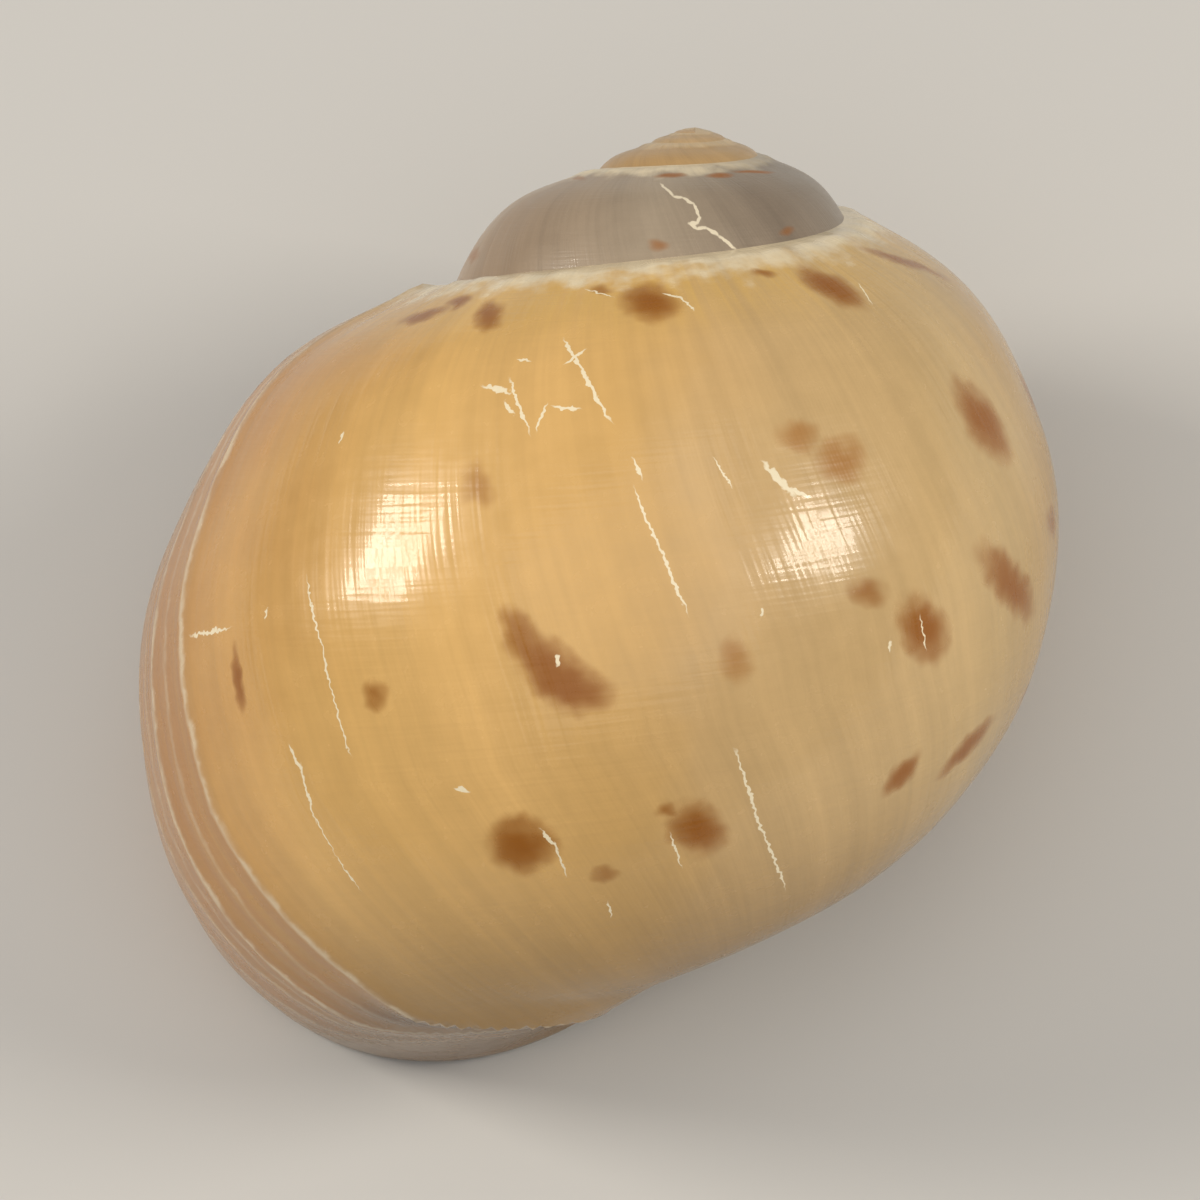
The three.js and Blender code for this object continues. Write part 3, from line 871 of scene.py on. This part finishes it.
def glaze_material():
    material = bpy.data.materials.new("shell_glaze")
    material.use_nodes = True
    material.node_tree.nodes.clear()
    g = Graph(material.node_tree)

    # Where a point is: on the growth map in mm, as turn and angle, and in space in mm
    place = g.add("ShaderNodeUVMap", {}, uv_map="Growth").outputs[0]
    split = g.add("ShaderNodeSeparateXYZ", {0: place}).outputs
    turn = g.math("DIVIDE", split[0], MM_PER_TURN)
    angle = g.math("DIVIDE", split[1], MM_PER_DEGREE)
    line_turn = g.add("ShaderNodeAttribute", {}, attribute_name="growth_line").outputs["Fac"]
    line = g.math("MULTIPLY", line_turn, MM_PER_TURN)
    glazed = g.add("ShaderNodeAttribute", {}, attribute_name="glaze").outputs["Fac"]
    here = g.add("ShaderNodeTexCoord", {}).outputs["Object"]
    space = g.add("ShaderNodeVectorMath", {0: here, "Scale": 1 / MM}, operation="SCALE").outputs[0]

    # Noise stretched along the growth lines, and across them
    def streaks(along_line, along_whorl, detail):
        vector = g.vector(g.times(line, along_line), g.times(split[1], along_whorl))
        return g.noise(vector, detail=detail)

    clouds = g.noise(space, scale=CLOUD_SCALE, detail=3.0)
    mottle = g.noise(space, scale=MOTTLE_SCALE, detail=3.0)
    bands = streaks(BAND_SCALE, BAND_SCALE * STRETCH, 2.0)
    threads = streaks(THREAD_SCALE, THREAD_SCALE * STRETCH, 2.0)

    colour = ground_colour(g, turn, angle, clouds, mottle, threads)
    colour = growth_shading(g, colour, bands, threads, mottle)
    colour = late_growth(g, colour, line_turn, angle, threads, mottle)
    colour, brown = markings(g, colour, place, space)
    colour = g.mix(glazed, colour, tint(*GLAZE_CREAM))

    # Relief too fine for the mesh: growth striae, spiral striae and a soft unevenness, in mm
    growth_striae = streaks(GROWTH_STRIA_SCALE, GROWTH_STRIA_SCALE * STRETCH, 1.0)
    spiral_striae = streaks(SPIRAL_STRIA_SCALE * STRETCH, SPIRAL_STRIA_SCALE, 1.0)
    uneven = g.noise(space, scale=MOTTLE_SCALE, detail=1.0)
    fine = g.times(growth_striae, GROWTH_STRIA_HEIGHT)
    fine = g.math("MULTIPLY_ADD", spiral_striae, SPIRAL_STRIA_HEIGHT, fine)
    fine = g.math("MULTIPLY_ADD", uneven, UNEVEN_HEIGHT, fine)
    bump = g.add("ShaderNodeBump", {"Height": fine, "Distance": MM, "Strength": 1.0}).outputs[0]

    roughness = g.rise(mottle, 0.3, 0.7, *ROUGHNESS)
    early = g.rise(turn, *EARLY_WHORL_TURNS, 0.0, EARLY_WHORL_ROUGHNESS)
    roughness = g.math("ADD", roughness, early)
    roughness = g.math("ADD", roughness, g.times(brown, SPOT_ROUGHNESS))
    shader = g.add("ShaderNodeBsdfPrincipled", {
        "Base Color": colour,
        "Roughness": roughness,
        "Normal": bump,
        "Coat Normal": bump,
        "Coat Weight": COAT_WEIGHT,
        "Coat Roughness": COAT_ROUGHNESS,
        "IOR": IOR,
    })
    g.add("ShaderNodeOutputMaterial", {"Surface": shader.outputs[0]})
    return material


# Stage ------------------------------------------------------------------------------------------
FLOOR_COLOUR = (0.64, 0.63, 0.61, 1)
FLOOR_SIZE = 2.0


def build_floor():
    bpy.ops.mesh.primitive_plane_add(size=FLOOR_SIZE, location=(0, 0, 0))
    floor = bpy.context.object
    floor.name = "floor"
    material = bpy.data.materials.new("floor_paper")
    material.use_nodes = True
    material.node_tree.nodes.clear()
    g = Graph(material.node_tree)
    paper = g.add("ShaderNodeBsdfDiffuse", {"Color": FLOOR_COLOUR})
    g.add("ShaderNodeOutputMaterial", {"Surface": paper.outputs[0]})
    floor.data.materials.append(material)
    return floor


# The camera looks at the back of the shell, a little from above its base, 320 mm away. Its
# directions are those of the upright shell.
CAMERA_DISTANCE = 320
CAMERA_TILT = 7.15 * DEGREE
CAMERA_ROLL = 1.32 * DEGREE
CAMERA_PIVOT = np.array([0, 0, -19])
CAMERA_LENS = 237.5
SENSOR_WIDTH = 36
FRAMING = np.array([-0.01066, -0.00073])        # slopes to the view's middle, right and up
RIGHT = np.array([1.0, 0, 0])
UP = np.array([0, math.sin(CAMERA_TILT), math.cos(CAMERA_TILT)])
AHEAD = np.array([0, math.cos(CAMERA_TILT), -math.sin(CAMERA_TILT)])


def facing(position, forward, up):
    """The matrix of an object at a place in the frame that looks along forward."""
    forward = Vector(forward).normalized()
    side = forward.cross(Vector(up)).normalized()
    rows = Matrix((side, side.cross(forward), -forward)).transposed().to_4x4()
    rows.translation = Vector(position)
    return rows


def build_camera():
    data = bpy.data.cameras.new("camera")
    data.lens = CAMERA_LENS
    data.sensor_width = SENSOR_WIDTH
    camera = bpy.data.objects.new("camera", data)
    bpy.context.scene.collection.objects.link(camera)
    aim = AHEAD + FRAMING[0] * RIGHT + FRAMING[1] * UP
    up = math.cos(CAMERA_ROLL) * UP - math.sin(CAMERA_ROLL) * RIGHT
    position = placed(CAMERA_PIVOT - CAMERA_DISTANCE * AHEAD)
    camera.matrix_world = facing(position, REST @ aim, REST @ up)
    bpy.context.scene.camera = camera


def add_area_light(name, position, target, size, watts, up, colour):
    data = bpy.data.lights.new(name, "AREA")
    data.shape = "RECTANGLE"
    data.size, data.size_y = size
    data.energy = watts
    data.color = colour
    light = bpy.data.objects.new(name, data)
    bpy.context.scene.collection.objects.link(light)
    forward = np.asarray(target) - np.asarray(position)
    light.matrix_world = facing(position, forward, up)


# Window lights: point that reflects them and direction towards them on the upright shell,
# watts a pane, and tilt of the panes in degrees
WINDOWS = (
    ("window_left", (-11.4, -14.9, -16.1), (-0.864, -0.316, 0.390), 0.26, 0),
    ("window_right", (5.2, -16.0, -14.9), (0.707, -0.609, 0.359), 0.24, -20),
)
WINDOW_DISTANCE = 400
PANE = (0.030, 0.130)
PANE_SPACING = 0.047
PANE_COLOUR = (1.0, 0.93, 0.82)

SOFTBOX_PLACE = (0.0, -0.30, 0.85)
SOFTBOX_TARGET = (0, 0, 0.01)
SOFTBOX_SIZE = (1.1, 1.1)
SOFTBOX_WATTS = 3.0
SOFTBOX_COLOUR = (1.0, 0.96, 0.9)
ROOM_COLOUR = (0.92, 0.95, 1.0, 1)
ROOM_STRENGTH = 0.22


def build_lights():
    for name, spot, towards, watts, tilt in WINDOWS:
        spot, towards = placed(spot), REST @ np.array(towards)
        towards = towards / np.linalg.norm(towards)
        middle = spot + towards * WINDOW_DISTANCE * MM
        turn = Matrix.Rotation(tilt * DEGREE, 3, Vector(towards))
        up = np.array(turn @ Vector(REST @ UP))
        side = np.cross(towards, up)
        side = side / np.linalg.norm(side)
        for i in (-1, 0, 1):
            position = middle + side * PANE_SPACING * i
            pane = f"{name}_{i + 2}"
            add_area_light(pane, position, spot, PANE, watts, up, PANE_COLOUR)
    softbox = SOFTBOX_PLACE, SOFTBOX_TARGET, SOFTBOX_SIZE, SOFTBOX_WATTS
    add_area_light("softbox", *softbox, (0, 1, 0), SOFTBOX_COLOUR)
    bpy.context.scene.view_settings.view_transform = "Standard"
    world = bpy.data.worlds.new("studio")
    bpy.context.scene.world = world
    world.use_nodes = True
    background = world.node_tree.nodes["Background"]
    background.inputs["Color"].default_value = ROOM_COLOUR
    background.inputs["Strength"].default_value = ROOM_STRENGTH


shell = build_shell()
shell.data.materials.append(glaze_material())
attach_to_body(shell, "root")
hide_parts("shell")
build_floor()
build_camera()
build_lights()
